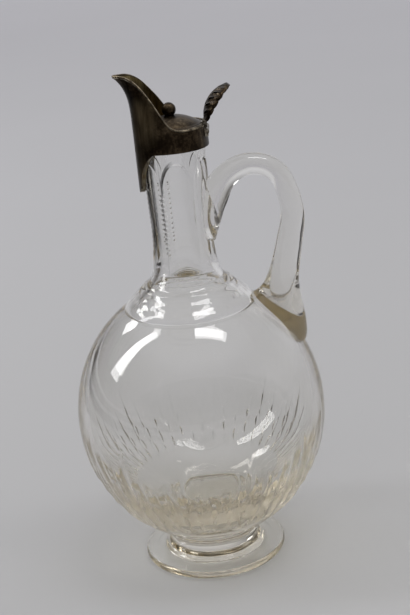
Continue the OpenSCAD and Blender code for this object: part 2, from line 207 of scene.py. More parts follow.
def steps_line():
    """The three low rounded steps on the shoulder."""
    marks = [(36.5, 152.2), (37.0, 153.0), (37.2, 153.9), (37.0, 154.7), (36.2, 155.4),
             (35.0, 156.0), (33.4, 156.8), (32.0, 157.5), (31.6, 158.2), (31.4, 159.0),
             (30.9, 159.7), (29.8, 160.2), (28.2, 160.9), (26.9, 161.6), (26.4, 162.3),
             (26.2, 163.0), (25.7, 163.6), (24.9, 164.1)]
    marks = np.array(marks)
    slope = np.interp(marks[:, 1], marks[[0, -1], 1], marks[[0, -1], 0])
    marks[:, 0] = slope + STEP_RELIEF * (marks[:, 0] - slope)
    return marks


def outer_line():
    """The outside from the middle of the underside up to the lip, with the
    number of points around for each row."""
    base = math.degrees(math.asin((STEM_Z - BULB_MID_Z) / BULB_HALF_H))
    top = math.degrees(math.asin((SHOULDER_Z - BULB_MID_Z) / BULB_HALF_H))
    under = [(0.01, 1.2), (12, 1.15), (22, 0.95), (29, 0.6), (33.0, 0.3), (34.5, 0.05),
             (35.5, 0.0), (37.6, 0.0)]
    bulb = lambda start, end, count: arc(BULB_R, BULB_HALF_H, BULB_MID_Z, start, end, count)
    rim_round, half = 2.4, FOOT_EDGE / 2
    rim = arc(rim_round, half, half, -78, 100, 15) + (FOOT_R - rim_round, 0)
    rise = bend(rim[-1], (STEM_R + 5, FOOT_EDGE - 0.6), (28.6, 5.6), 9)
    grooves = np.array([(28.1, 6.2), (27.6, 6.5), (27.0, 6.7), (26.6, 7.2), (26.3, 7.9),
                        (26.0, 8.3), (25.6, 8.7), (25.4, 9.3), (25.2, 10.1)])
    join = bulb(base, base + 4, 5)
    stem = np.vstack([bend(grooves[-1], (STEM_R - 0.7, 14.0), (STEM_R + 0.3, 17.6), 8),
                      bend((STEM_R + 0.3, 17.6), (STEM_R + 1.6, 19.2), join[-1], 5)])
    steps = steps_line()
    flare = bend(steps[-1], (WAIST_R + 2, SHOULDER_Z + 14.5), (WAIST_R + 0.8, NECK_FOOT_Z), 34)
    neck = np.vstack([bend((WAIST_R + 0.8, NECK_FOOT_Z), (WAIST_R, WAIST_Z - 6),
                           (WAIST_R, WAIST_Z + 2), 44),
                      bend((WAIST_R, WAIST_Z + 2), (NECK_R - 0.1, WAIST_Z + 16),
                           (NECK_R, COLLAR_LOW_Z - 2), 92),
                      line((NECK_R, COLLAR_LOW_Z - 2), (NECK_R, LIP_Z - 0.6), 4)])
    parts = [(under, COARSE), (rim, COARSE), (rise, COARSE), (grooves, COARSE),
             (stem, COARSE), (bulb(base + 5.5, -47.0, 10), COARSE),
             (bulb(-46.4, 13.5, 128), FINE), (bulb(15.5, top, 22), COARSE),
             (steps, COARSE), (flare, COARSE), (neck, COARSE)]
    rows = np.vstack([np.array(p, float) for p, _ in parts])
    counts = np.concatenate([np.full(len(p), n) for p, n in parts])
    return rows, counts


def inner_line():
    """The hollow from above the lip down to the middle of its bottom."""
    mid = BULB_MID_Z + 2
    up = BULB_HALF_H - 5
    turn = math.degrees(math.asin((SHOULDER_Z - 4 - mid) / up))
    low = arc(HOLLOW_R, mid - HOLLOW_Z, mid, -90, 0, 40)
    top = arc(HOLLOW_R, up, mid, 3, turn, 26)
    flare = bend(top[-1], (BORE_R + 1.6, SHOULDER_Z + 11.5), (BORE_R - 0.5, NECK_FOOT_Z), 26)
    bore = np.vstack([flare, line(flare[-1], (BORE_R - 0.5, WAIST_Z + 10), 6),
                      line((BORE_R - 0.5, WAIST_Z + 10), (BORE_R, COLLAR_LOW_Z), 6),
                      [(BORE_R, LIP_Z - 0.6), (BORE_R + 0.6, LIP_Z + 0.1),
                       (BORE_R + 0.6, LIP_Z + 3)]])
    return np.vstack([low, top, bore])


def off_step(angle, start, pitch):
    """Which of the evenly spaced cuts is nearest, and how far off it, in degrees."""
    s = (angle - start) / pitch
    nearest = np.round(s)
    return nearest.astype(int), (s - nearest) * pitch


def spear_depth(angle, r, z):
    """The long pointed cuts that rise from the scalloped edge at the base."""
    which, off = off_step(angle, SPEAR_TURN, SPEAR_PITCH)
    tip = SPEAR_TIPS[which % 4]
    across = np.abs(np.radians(off)) * r
    u = (tip - z) / (tip - SPEAR_END_Z)
    touch = math.radians(SPEAR_PITCH / 2) * r
    rise = np.clip(u / 0.62, 0, 1)**0.85
    end = np.sqrt(np.clip(1 - (np.clip(u - 0.93, 0, None) / 0.07)**2, 0, 1))
    half = np.maximum(touch * rise * end, 1e-6)
    steep = SPEAR_STEEP * np.clip(half / SPEAR_FULL_HALF, 0.1, 1)**2
    return np.where(u > 0, steep * half * np.clip(1 - (across / half)**2, 0, 1), 0.0)


def leaf_cut_depth(angle, r, z):
    """Short pointed cuts set on the ridges between the spears, in staggered rows.
    A row of the table is height, half height, half width and depth."""
    which, off = off_step(angle, SPEAR_TURN + SPEAR_PITCH / 2, SPEAR_PITCH)
    across = np.abs(np.radians(off)) * r
    shift = np.where(which % 2 == 0, 0.0, LEAF_CUT_SHIFT)
    depth = np.zeros_like(across)
    for centre, half_h, half_w, deep in LEAF_CUTS:
        v = (z - centre - shift) / half_h
        half = np.maximum(half_w * np.clip(1 - v**2, 0, 1), 1e-6)
        depth = np.maximum(depth, deep * (half / half_w)**2 * np.clip(1 - across / half, 0, 1)
                           * (np.abs(v) < 1))
    return depth


def panel_depth(angle, r, z):
    """Six long flat panels around the neck, with arched tops."""
    _, off = off_step(angle, PANEL_TURN, PANEL_PITCH)
    edge = np.cos(np.radians(PANEL_PITCH / 2)) / np.cos(np.radians(off))
    flat = r * 0.42 * (1 - edge)
    arch = ARCH_FOOT_Z + ARCH_RISE * np.sqrt(np.clip(1 - (off / ARCH_HALF_TURN)**2, 0, 1))
    top = np.clip((arch - z) / 1.6, 0, 1)
    foot = np.clip((z - 172.0) / 14.0, 0, 1)
    fade = lambda v: v * v * (3 - 2 * v)
    return np.clip(flat, 0, None) * fade(top) * fade(foot)


def notch_depth(angle, r, z):
    """A ladder of small notches down each ridge on the spout's side of the neck."""
    _, off = off_step(angle, RIDGE_TURN, PANEL_PITCH)
    across = np.radians(off) * r
    level = (z - NOTCH_FIRST_Z) / NOTCH_PITCH
    v = (level - np.round(level)) * 2.0
    inside = (NOTCH_LOW_Z < z < NOTCH_TOP_Z) & (np.cos(np.radians(angle)) < 0)
    return np.where(inside, 0.85 * np.clip(1 - np.abs(across / 2.1)**2 - v**2, 0, 1), 0.0)


def shoulder_depth(angle, z):
    """Fine grooves at the foot of the neck and nicks on the middle step."""
    depth = np.zeros_like(angle)
    for level in GROOVE_LEVELS:
        depth = np.maximum(depth, 0.12 * np.clip(1 - abs(z - level) / 0.9, 0, 1))
    if 157.2 < z < 160.2:
        _, off = off_step(angle, SPEAR_TURN, SPEAR_PITCH)
        depth = np.maximum(depth, 0.06 * np.clip(1 - np.abs(off / 2.4)**2, 0, 1))
    return depth


def cut_ring(r, z, nr, nz, count):
    """One ring of the outside, with every cut taken off along the surface normal."""
    angle = np.arange(count) * 360.0 / count
    depth = np.zeros(count)
    if count == FINE and z > SPEAR_END_Z:
        depth = np.maximum(spear_depth(angle, r, z), leaf_cut_depth(angle, r, z))
    elif SHOULDER_Z < z < COLLAR_LOW_Z:
        depth = np.maximum.reduce([shoulder_depth(angle, z), panel_depth(angle, r, z),
                                   notch_depth(angle, r, z)])
    a = np.radians(angle)
    out = r - depth * nr
    return np.column_stack([out * np.cos(a), out * np.sin(a), z - depth * nz])


def vessel_outside():
    """Foot, bulb and neck as one closed skin, still without the hollow."""
    rows, counts = outer_line()
    slope = np.gradient(rows, axis=0)
    normal = np.column_stack([slope[:, 1], -slope[:, 0]])
    normal /= np.linalg.norm(normal, axis=1)[:, None]
    rings = []
    for (r, z), (nr, nz), n in zip(rows, normal, counts):
        rings.append(np.array([(0, 0, z)]) if r < 0.1 else cut_ring(r, z, nr, nz, n))
    rings.append(round_ring(NECK_R - 0.6, LIP_Z, COARSE))
    rings.append(np.array([(0, 0, LIP_Z)]))
    return stitch(rings)


def vessel_hollow():
    """The hollow as a closed form, to be cut away."""
    rings = [round_ring(r, z, COARSE, 0.4) if r > 0.1 else np.array([(0, 0, z)])
             for r, z in inner_line()]
    return stitch(rings + [np.array([(0, 0, LIP_Z + 3)])])


# --- The glass handle ------------------------------------------------------

HANDLE_X = [(0, WAIST_R - 0.2), (1, WAIST_R + 0.1), (2, 17.6), (3, 27), (4, 41), (5, 54.6),
            (6, REACH_X), (7, REACH_X - 2.9), (8, REACH_X - 7.4), (9, 50.6), (10, 47.8),
            (11, 45.6)]
HANDLE_Z = [(0, 187), (1, 197), (2, 208), (3, ARCH_Z - 5), (4, ARCH_Z), (5, ARCH_Z - 6.6),
            (6, ARCH_Z - 27), (7, ARCH_Z - 45), (8, ARCH_Z - 63), (9, ARCH_Z - 75),
            (10, 141.5), (11, 138)]
HANDLE_T = [(0, 1.5), (1, 4.9), (2, 8.1), (3, ROD_R + 0.7), (4, ROD_R), (5, ROD_R - 0.1),
            (6, ROD_R + 0.3), (7, ROD_R + 1.2), (8, ROD_R + 2.5), (9, ROD_R + 6.6),
            (10, SEAL_HALF - 0.6), (11, SEAL_HALF + 0.4)]
HANDLE_W = [(0, 1.5), (1, 4.6), (2, 6.2), (3, 6.8), (4, ROD_R + 0.3), (5, ROD_R),
            (6, ROD_R + 0.2), (7, ROD_R + 0.8), (8, ROD_R + 1.8), (9, ROD_R + 4),
            (10, ROD_R + 7.4), (11, ROD_R + 8)]
HANDLE_WRAP = [(0, 1), (1, 1), (2, 1), (3, 0), (4, 0), (11, 0)]
HANDLE_HEADING = [(0, 85), (1, 81), (2, 74), (3, 40), (4, 0), (5, -45), (6, -92), (7, -106),
                  (8, -104), (9, -112), (10, -130), (11, -136)]


def glass_handle():
    """The rod of the handle, swept along the tables above. It hugs the neck
    where its upper end runs down the glass."""
    rings = []
    a = -np.arange(56) * 2 * np.pi / 56
    for t in np.linspace(0, 11, 133):
        x, z = smooth(HANDLE_X, t), smooth(HANDLE_Z, t)
        thick, wide = smooth(HANDLE_T, t), smooth(HANDLE_W, t)
        heading = math.radians(smooth(HANDLE_HEADING, t))
        across = wide * np.sin(a)
        wrap = smooth(HANDLE_WRAP, t) * (WAIST_R - np.sqrt(WAIST_R**2 - across**2))
        rings.append(np.column_stack([x - thick * np.cos(a) * math.sin(heading) - wrap, across,
                                      z + thick * np.cos(a) * math.cos(heading)]))
    return capped(rings)


def handle_pad():
    """The leaf-shaped pad by which the handle's upper end sits on the neck."""
    low, high, half_w, thick = 186.0, 221.5, 10.2, 2.5
    across = np.linspace(-1, 1, 41)
    round_off = np.sqrt(np.clip(1 - np.abs(across)**5, 0, 1))
    rings = []
    for s in np.linspace(0.002, 0.998, 71):
        z = low + (high - low) * s
        half = half_w * math.sin(math.pi * s**0.8)**0.62
        outer = WAIST_R - 0.4 + (thick + 0.4) * round_off * min(1.0, math.sin(math.pi * s) * 3)
        angle = across * half / WAIST_R
        shell = []
        for radius in (outer, np.full_like(outer, WAIST_R - 1.4)):
            shell.append(np.column_stack([radius * np.cos(angle), radius * np.sin(angle),
                                          np.full_like(angle, z)]))
        rings.append(np.vstack([shell[0], shell[1][::-1]]))
    return capped(rings)


# --- The spout mount: one raised sheet with a wire along its edge -----------

EDGE_R = [(0, TIP_X), (7, 24.9), (12.5, 22.6), (21, 20.3), (34, 17.9), (49, 16.7), (61, 16.9),
          (70, 17.7), (78, 18.6), (85, 19.2), (92, COLLAR_R), (180, COLLAR_R)]
EDGE_Z = [(0, TIP_Z), (7, TIP_Z - 0.2), (12.5, TIP_Z - 0.5), (21, TIP_Z - 1.7),
          (34, TIP_Z - 4.8), (49, TIP_Z - 9.4), (61, TIP_Z - 13.2), (70, TIP_Z - 16.4),
          (78, TIP_Z - 20), (85, TIP_Z - 23.6), (92, TIP_Z - 26.4),
          (102, COLLAR_TOP_Z + 0.6), (114, COLLAR_TOP_Z), (180, COLLAR_TOP_Z)]
TONGUE_EDGE_Z = [(0, TONGUE_Z), (14, TONGUE_Z + 0.8), (21, TONGUE_Z + 2.6), (25, TONGUE_Z + 5.5),
                 (31, TONGUE_Z + 11.5), (44, COLLAR_LOW_Z - 4.8), (52, COLLAR_LOW_Z - 2),
                 (62, COLLAR_LOW_Z), (180, COLLAR_LOW_Z)]
FRONT_SWELL, BEND_Z, WIRE_R = 0.7, COLLAR_LOW_Z + 5, 0.55
MOUNT_COLUMNS, MOUNT_ROWS = 288, 44


def spoutward(turn):
    """1 under the spout's tip, falling to 0 at the sides and behind them."""
    return math.cos(math.radians(turn))**2 if turn < 90 else 0.0


def sheet_radius(turn, z, high):
    """Outer radius of the raised sheet at an angle from the spout."""
    facing = spoutward(turn)
    base = COLLAR_R + FRONT_SWELL * facing
    if z <= BEND_Z:
        return base
    lean = ((z - BEND_Z) / (high - BEND_Z))**(2 + 3 * facing)
    return base + (smooth(EDGE_R, turn) - base) * lean


def round_the_mount(outline):
    """Sets an upright outline, made for each angle from the spout, around the
    neck and closes it to a ring."""
    rings = []
    for k in range(MOUNT_COLUMNS):
        angle = 360.0 * k / MOUNT_COLUMNS
        r, z = outline(abs(180 - angle))
        a = math.radians(angle)
        rings.append(np.column_stack([r * math.cos(a), r * math.sin(a), z]))
    verts, faces = stitch(rings, closed_loop=True)
    return verts, [face[::-1] for face in faces]


def mount_sheet():
    """The beak, collar and tongue, with both edges rounded over."""
    def outline(turn):
        low, high = smooth(TONGUE_EDGE_Z, turn), smooth(EDGE_Z, turn)
        heights = low + (high - low) * np.linspace(0, 1, MOUNT_ROWS + 1)
        facing = spoutward(turn)
        profile, inside = [], []
        for z in heights:
            r = sheet_radius(turn, z, high)
            thick = MOUNT_WALL + FRONT_SWELL * facing * (1 if z < BEND_Z else 0.3)
            if z < COLLAR_LOW_Z and turn < 90:
                thick += 0.7 * min((COLLAR_LOW_Z - z) / 6, 1)
            profile.append((r, z))
            inside.append((r - thick, z))
        soft = 0.28
        (r0, z0), (r1, z1) = profile[0], profile[-1]
        profile[0:1] = [(r0 - soft, z0), (r0 - soft * 0.25, z0 + soft * 0.25), (r0, z0 + soft)]
        profile[-1:] = [(r1, z1 - soft), (r1 - soft * 0.3, z1 - soft * 0.2), (r1 - soft, z1)]
        return np.array(profile + inside[::-1]).T

    return round_the_mount(outline)


def edge_wire():
    """The round wire that lies along the sheet's upper edge."""
    b = np.arange(14) * 2 * np.pi / 14

    def outline(turn):
        return (smooth(EDGE_R, turn) - MOUNT_WALL * 0.35 + WIRE_R * np.cos(b),
                smooth(EDGE_Z, turn) + WIRE_R + WIRE_R * np.sin(b))

    return round_the_mount(outline)


def hinge_notch(grow):
    """The room for the hinge at the back of the mount, as a cutting tool."""
    return block((HINGE_X - 2.2 - grow, -HINGE_HALF - grow, LIP_Z + 0.1 - grow),
                 (60, HINGE_HALF + grow, 300))


# --- The lid: domed cap, ball finial and pierced leaf -----------------------

def turned(profile, count=192):
    """Turns a closed outline of (radius, height) about the jug's axis."""
    rings = [round_ring(r, z, count) if r > 0.01 else np.array([(0, 0, z)]) for r, z in profile]
    return stitch(rings, closed_loop=profile[0][0] > 0.01)


def lid_cap():
    """The dome with its raised bead and flat edge, hollow underneath."""
    mid = DOME_Z - DOME_SPHERE_R
    top = COLLAR_TOP_Z + LID_RIM_H
    dome_foot = math.sqrt(DOME_SPHERE_R**2 - (top + 0.35 - mid)**2)
    outside = [(LID_R - 1.8, COLLAR_TOP_Z), (LID_R - 0.3, COLLAR_TOP_Z),
               (LID_R - 0.06, COLLAR_TOP_Z + 0.1), (LID_R, COLLAR_TOP_Z + 0.4),
               (LID_R - 0.1, top - 0.15), (LID_R - 0.4, top), (LID_R - 0.75, top + 0.02),
               (dome_foot + 0.75, top + 0.12), (dome_foot + 0.35, top + 0.42),
               (dome_foot, top + 0.48)]
    for r in np.linspace(dome_foot - 0.5, STUD_R, 26):
        outside.append((r, mid + math.sqrt(DOME_SPHERE_R**2 - r * r)))
    inner = DOME_SPHERE_R - DOME_WALL
    inside = [(r, mid + math.sqrt(inner**2 - r * r)) for r in np.linspace(STUD_R, 14.6, 20)]
    return outside + inside[:-1] + [(14.6, top - 0.1), (LID_R - 1.8, top - 0.3)]


def ball_outline():
    """The ball finial, with a small foot turned on it and its hole for the stud."""
    a = np.radians(np.linspace(90, -62, 30))
    ball = np.column_stack([BALL_R * np.cos(a), BALL_Z + BALL_R * np.sin(a)])
    ball[0, 0] = 0.0
    seat = [(2.05, 257.32), (STUD_R, 257.38)]
    return [tuple(p) for p in ball] + seat + [(STUD_R, BALL_Z), (0.0, BALL_Z)]


LEAF_DEPTH = math.sqrt(LEAF_CURVE_R**2 - (LEAF_LEN / 2)**2)
VEIN_PITCH, VEIN_RUN = 0.17, 1.732


def leaf_half(u):
    """Half the leaf's width at a share of its length, with its wavy edge."""
    swell = max(4 * u * (1 - u), 0.0)**0.55
    return 1.5 - u + (LEAF_HALF_W - 1.2) * swell + 0.5 * abs(math.sin(5 * math.pi * u))


def leaf_grid():
    """The dished leaf with raised ribs that run out to the waves of its edge."""
    across = np.linspace(-1, 1, 57)
    rings = []
    for u in np.linspace(0, 1, 91):
        u = min(max(u, 0.004), 0.996)
        y = across * leaf_half(u)
        x = np.full_like(y, LEAF_LEN * u)
        phase = (u - np.abs(y) / (VEIN_RUN * LEAF_LEN) - 0.055) / VEIN_PITCH
        rib = 0.5 + 0.5 * np.cos(2 * np.pi * phase)
        edge = np.clip((1 - np.abs(across)) / 0.09, 0, 1)**0.5
        spine = np.clip(1 - np.abs(y) / 1.1, 0, 1)
        lift = (0.34 * rib * (1 - spine) + 0.42 * spine) * edge
        thick = LEAF_WALL * (0.55 + 0.45 * edge)
        shell = []
        for offset in (lift - 0.4 * (1 - edge), lift * 0.3 - thick):
            r = LEAF_CURVE_R - 0.35 + offset
            z = np.sqrt(r**2 - (x - LEAF_LEN / 2)**2 - y**2) - LEAF_DEPTH
            shell.append(np.column_stack([x, y, z]))
        rings.append(np.vstack([shell[0], shell[1][::-1]]))
    return capped(rings)


def on_leaf(points):
    """Moves points from the leaf's own plane to its place on the lid."""
    lean = math.radians(LEAF_LEAN)
    p = np.array(points, float)
    x = p[:, 0] * math.cos(lean) - p[:, 2] * math.sin(lean)
    z = p[:, 0] * math.sin(lean) + p[:, 2] * math.cos(lean)
    return np.column_stack([LEAF_BASE_X + x, p[:, 1], LEAF_BASE_Z + z])


def leaf_slot(side, along, length):
    """A tool for one pierced slot: a long rounded prism."""
    half = 0.6
    a = np.radians(np.concatenate([np.linspace(90, 270, 9), np.linspace(-90, 90, 9)]))
    x = half * np.cos(a) + np.repeat([0.0, length], 9)
    y = half * np.sin(a)
    turn = side * math.radians(60)
    px = along + x * math.cos(turn) - y * math.sin(turn)
    py = side * 3.2 + x * math.sin(turn) + y * math.cos(turn)
    ends = [on_leaf(np.column_stack([px, py, np.full(18, level)])) for level in (-4.0, 7.0)]
    return piece("tool", *capped(ends), soft_angle=0)


# --- Finishes --------------------------------------------------------------

def feed(tree, made, feeds):
    """Wires a node's inputs, or sets those whose source is a plain value."""
    for socket, source in feeds.items():
        if isinstance(source, bpy.types.NodeSocket):
            tree.links.new(source, made.inputs[socket])
        else:
            made.inputs[socket].default_value = source


def node(tree, kind, feeds=(), **settings):
    """Adds a shader node, sets its properties and feeds its inputs."""
    made = tree.nodes.new("ShaderNode" + kind)
    for label, value in settings.items():
        setattr(made, label, value)
    feed(tree, made, dict(feeds))
    return made


def maths(tree, operation, first, second=0.0):
    return node(tree, "Math", {0: first, 1: second}, operation=operation).outputs[0]


def plus(tree, first, second):
    return maths(tree, "ADD", first, second)


def less(tree, first, second):
    return maths(tree, "SUBTRACT", first, second)


def times(tree, first, second):
    return maths(tree, "MULTIPLY", first, second)


def span(tree, source, low, high, to_low=0.0, to_high=1.0):
    """Carries a value from one span to another and stops at its ends."""
    return node(tree, "MapRange", {"Value": source, "From Min": low, "From Max": high,
                                   "To Min": to_low, "To Max": to_high}).outputs["Result"]


def colour_stops(tree, source, stops):
    """Colours along a value, from rows of (value, colour)."""
    made = node(tree, "ValToRGB", {"Fac": source})
    bar = made.color_ramp.elements
    bar[0].position, bar[0].color = stops[0][0], (*stops[0][1], 1)
    bar[1].position, bar[1].color = stops[-1][0], (*stops[-1][1], 1)
    for at, colour in stops[1:-1]:
        bar.new(at).color = (*colour, 1)
    return made.outputs["Color"]


def blend_colours(tree, share, first, second):
    """Goes from the first colour to the second. Either may be three numbers."""
    pair = [c if isinstance(c, bpy.types.NodeSocket) else (*c, 1) for c in (first, second)]
    return node(tree, "Mix", {0: share, 6: pair[0], 7: pair[1]}, data_type="RGBA").outputs[2]


def own_place(tree):
    """A point of the piece, in metres in the jug's own frame."""
    return node(tree, "TexCoord").outputs["Object"]


def noise(tree, place, scale, detail, roughness=0.5, distortion=0.0):
    return node(tree, "TexNoise", {"Vector": place, "Scale": scale, "Detail": detail,
                                   "Roughness": roughness,
                                   "Distortion": distortion}).outputs["Fac"]


def drawn_up(tree, place, squeeze):
    """A place whose height counts for less, which draws noise out upwards."""
    return node(tree, "Mapping", {"Vector": place, "Scale": (1.0, 1.0, squeeze)}).outputs[0]


def off_axis(tree, at):
    """The level part of a place: the way out from the jug's axis."""
    return node(tree, "CombineXYZ", {"X": at["X"], "Y": at["Y"]}).outputs[0]


def bump(tree, height, strength, distance):
    return node(tree, "Bump", {"Strength": strength, "Distance": distance,
                               "Height": height}).outputs["Normal"]


def new_material(name):
    made = bpy.data.materials.new(name)
    made.use_nodes = True
    return made, made.node_tree, made.node_tree.nodes["Principled BSDF"]


def new_group(name, inputs, outputs):
    group = bpy.data.node_groups.new(name, "ShaderNodeTree")
    for label, value in inputs:
        group.interface.new_socket(label, in_out="INPUT",
                                   socket_type="NodeSocketFloat").default_value = value
    for label, kind in outputs:
        group.interface.new_socket(label, in_out="OUTPUT", socket_type=kind)
    return group, group.nodes.new("NodeGroupInput"), group.nodes.new("NodeGroupOutput")


def tarnish_group():
    """Old tarnish: brown-black patches, upright streaks, fine mottling, pale pits."""
    tree, given, result = new_group(
        "old_tarnish", (("Patches", 90.0), ("Streaks", 0.5), ("Lightness", 0.0)),
        (("Color", "NodeSocketColor"), ("Roughness", "NodeSocketFloat"),
         ("Height", "NodeSocketFloat")))
    place = own_place(tree)
    patches = noise(tree, place, given.outputs["Patches"], 6.0, 0.62, 0.5)
    streaks = noise(tree, drawn_up(tree, place, 0.13), 640.0, 4.0, 0.6)
    mottle = noise(tree, place, 620.0, 5.0, 0.7)
    pits = node(tree, "TexVoronoi", {"Vector": place, "Scale": 330.0,
                                     "Randomness": 1.0}).outputs["Distance"]
    level = plus(tree, times(tree, patches, 0.62), times(tree, mottle, 0.38))
    pull = times(tree, less(tree, streaks, 0.5), given.outputs["Streaks"])
    level = plus(tree, plus(tree, level, pull), given.outputs["Lightness"])
    colour = colour_stops(tree, level, [
        (0.34, (0.009, 0.006, 0.004)), (0.45, (0.022, 0.015, 0.009)),
        (0.53, (0.052, 0.037, 0.022)), (0.61, (0.105, 0.078, 0.048)),
        (0.75, (0.260, 0.205, 0.135))])
    spots = span(tree, pits, 0.13, 0.05)
    bare = times(tree, spots, span(tree, patches, 0.52, 0.66))
    colour = blend_colours(tree, times(tree, bare, 0.55), colour, (0.42, 0.37, 0.29))
    feed(tree, result, {"Color": colour,
                        "Roughness": span(tree, level, 0.36, 0.70, 0.30, 0.46),
                        "Height": plus(tree, less(tree, mottle, spots), patches)})
    return tree


FLAT_POINTINESS = 0.515


def wear_group():
    """Where handling has rubbed the metal bright: along its raised edges."""
    tree, given, result = new_group("rubbed_edges", (("Reach", 0.03), ("Amount", 0.8)),
                                    (("Rubbed", "NodeSocketFloat"),))
    edge = node(tree, "NewGeometry").outputs["Pointiness"]
    broken = noise(tree, own_place(tree), 260.0, 4.0, 0.65)
    rise = span(tree, edge, FLAT_POINTINESS,
                plus(tree, given.outputs["Reach"], FLAT_POINTINESS))
    rubbed = times(tree, rise, span(tree, broken, 0.36, 0.60))
    feed(tree, result, {"Rubbed": times(tree, rubbed, given.outputs["Amount"])})
    return tree


def neck_painted_shade(tree, place):
    """Painted shade in the neck's cuts: down the notched ridge under the
    tongue and in the near panel's arch, standing in for the dark edges the clear glass shows there
    by refraction."""
    at = node(tree, "SeparateXYZ", {0: place}).outputs
    radius = node(tree, "VectorMath", {0: off_axis(tree, at)}, operation="LENGTH").outputs["Value"]
    flecks = noise(tree, place, 700.0, 3.0)
    edgewise = plus(tree, maths(tree, "DIVIDE", at["X"], radius),
                    span(tree, flecks, 0.3, 0.7, -0.04, 0.04))
    ridge = times(tree, span(tree, edgewise, -0.80, -0.88), span(tree, at["Z"], 0.172, 0.190))
    ridge = times(tree, ridge, span(tree, flecks, 0.36, 0.46, 0.35, 1.0))
    turn = less(tree, maths(tree, "ARCTAN2", at["Y"], at["X"]), math.radians(PANEL_TURN))
    share = maths(tree, "DIVIDE", turn, math.radians(ARCH_HALF_TURN))
    bow = maths(tree, "POWER", less(tree, 1.0, times(tree, share, share)), 0.5)
    arch_z = plus(tree, times(tree, bow, ARCH_RISE * MM), ARCH_FOOT_Z * MM)
    miss = times(tree, maths(tree, "ABSOLUTE", less(tree, at["Z"], arch_z)), bow)
    left_side = times(tree, span(tree, share, -0.1, -0.5), span(tree, share, -1.05, -0.97))
    arch = times(tree, span(tree, miss, 0.0018, 0.0010), left_side)
    outside = times(tree, span(tree, radius, 0.0146, 0.0153),
                    span(tree, at["Z"], 0.165, 0.172))
    return times(tree, maths(tree, "MAXIMUM", ridge, arch), outside)


def glass_material():
    """Clear lead glass with a faint warmth in its thick parts, a slight wave, and
    painted shade in the neck's cuts: a near-black colour for the dark refractions there."""
    made, tree, shader = new_material("lead_glass")
    place = own_place(tree)
    cloud = noise(tree, place, 34.0, 2.0)
    tint = colour_stops(tree, cloud, [(0.35, (0.985, 0.985, 0.98)), (0.65, (1.0, 1.0, 1.0))])
    # painted shade: the neck's cuts are darkened towards near black in the glass colour, standing
    # in for dark refracted edges
    painted_dark = times(tree, neck_painted_shade(tree, place), 0.93)
    feed(tree, shader, {"Base Color": blend_colours(tree, painted_dark, tint, (0.004, 0.003, 0.002)),
                        "Roughness": 0.0, "IOR": 1.52, "Transmission Weight": 1.0,
                        "Normal": bump(tree, cloud, 0.25, 0.0006)})
    depth = node(tree, "VolumeAbsorption", {"Color": (0.74, 0.68, 0.53, 1), "Density": 12.0})
    through = node(tree, "BsdfTransparent", {"Color": (0.80, 0.80, 0.79, 1)}).outputs[0]
    shadow_ray = node(tree, "LightPath").outputs["Is Shadow Ray"]
    pick = node(tree, "MixShader", {0: shadow_ray, 1: shader.outputs["BSDF"], 2: through})
    feed(tree, tree.nodes["Material Output"], {"Surface": pick.outputs[0],
                                               "Volume": depth.outputs["Volume"]})
    return made


def silver_nodes(name, patches=90.0, streaks=0.5, lightness=0.0, reach=0.03, rubbed=0.8,
                 bright=(0.52, 0.47, 0.38)):
    """Tarnished silver for one sort of piece, with its edges rubbed brighter."""
    made, tree, shader = new_material(name)
    tarnish = node(tree, "Group", node_tree=OLD_TARNISH)
    feed(tree, tarnish, {"Patches": patches, "Streaks": streaks, "Lightness": lightness})
    wear = node(tree, "Group", node_tree=RUBBED_EDGES)
    feed(tree, wear, {"Reach": reach, "Amount": rubbed})
    colour = blend_colours(tree, wear.outputs["Rubbed"], tarnish.outputs["Color"], bright)
    feed(tree, shader, {"Base Color": colour, "Metallic": 1.0,
                        "Roughness": tarnish.outputs["Roughness"],
                        "Normal": bump(tree, tarnish.outputs["Height"], 0.5, 0.00005)})
    return made, tree, shader, colour


def silver_finish(*settings):
    return silver_nodes(*settings)[0]


def oval_field(tree, sources, centres, squeezes):
    """0 at an oval's centre and 1 at its edge, rising with the square between."""
    squares = []
    for source, centre, squeeze in zip(sources, centres, squeezes):
        off = times(tree, less(tree, source, centre), squeeze)
        squares.append(maths(tree, "POWER", off, 2.0))
    return plus(tree, *squares)


def beak_material():
    """The mount's sheet: a paler field on each side of the beak, a warm gilt-brown
    inside, and darker metal elsewhere."""
    made, tree, shader, colour = silver_nodes("beak_silver", 85.0, 0.16, -0.02, 0.03, 0.5)
    coords = node(tree, "TexCoord")
    place = coords.outputs["Object"]
    at = node(tree, "SeparateXYZ", {0: place}).outputs
    side_and_height = (maths(tree, "ABSOLUTE", at["Y"]), at["Z"])
    cheek = oval_field(tree, side_and_height, (0.0120, 0.2555), (130.0, 68.0))
    throat = oval_field(tree, side_and_height, (0.0095, 0.2370), (190.0, 62.0))
    field = maths(tree, "MAXIMUM", span(tree, cheek, 1.15, 0.1),
                  span(tree, throat, 1.0, 0.2, 0.0, 0.55))
    field = times(tree, field, span(tree, at["X"], -0.004, -0.009))
    brushed = noise(tree, drawn_up(tree, place, 0.1), 420.0, 4.0, 0.6)
    pale = colour_stops(tree, brushed, [
        (0.30, (0.070, 0.051, 0.026)), (0.5, (0.128, 0.098, 0.055)),
        (0.72, (0.215, 0.172, 0.105))])
    mixed = blend_colours(tree, times(tree, field, 0.85), colour, pale)
    outward = node(tree, "VectorMath", {0: off_axis(tree, at), 1: coords.outputs["Normal"]},
                   operation="DOT_PRODUCT").outputs["Value"]
    lining = colour_stops(tree, brushed, [
        (0.36, (0.075, 0.055, 0.022)), (0.5, (0.150, 0.115, 0.050)),
        (0.64, (0.235, 0.190, 0.095))])
    mixed = blend_colours(tree, span(tree, outward, 0.001, -0.001), mixed, lining)
    feed(tree, shader, {"Base Color": mixed})
    return made


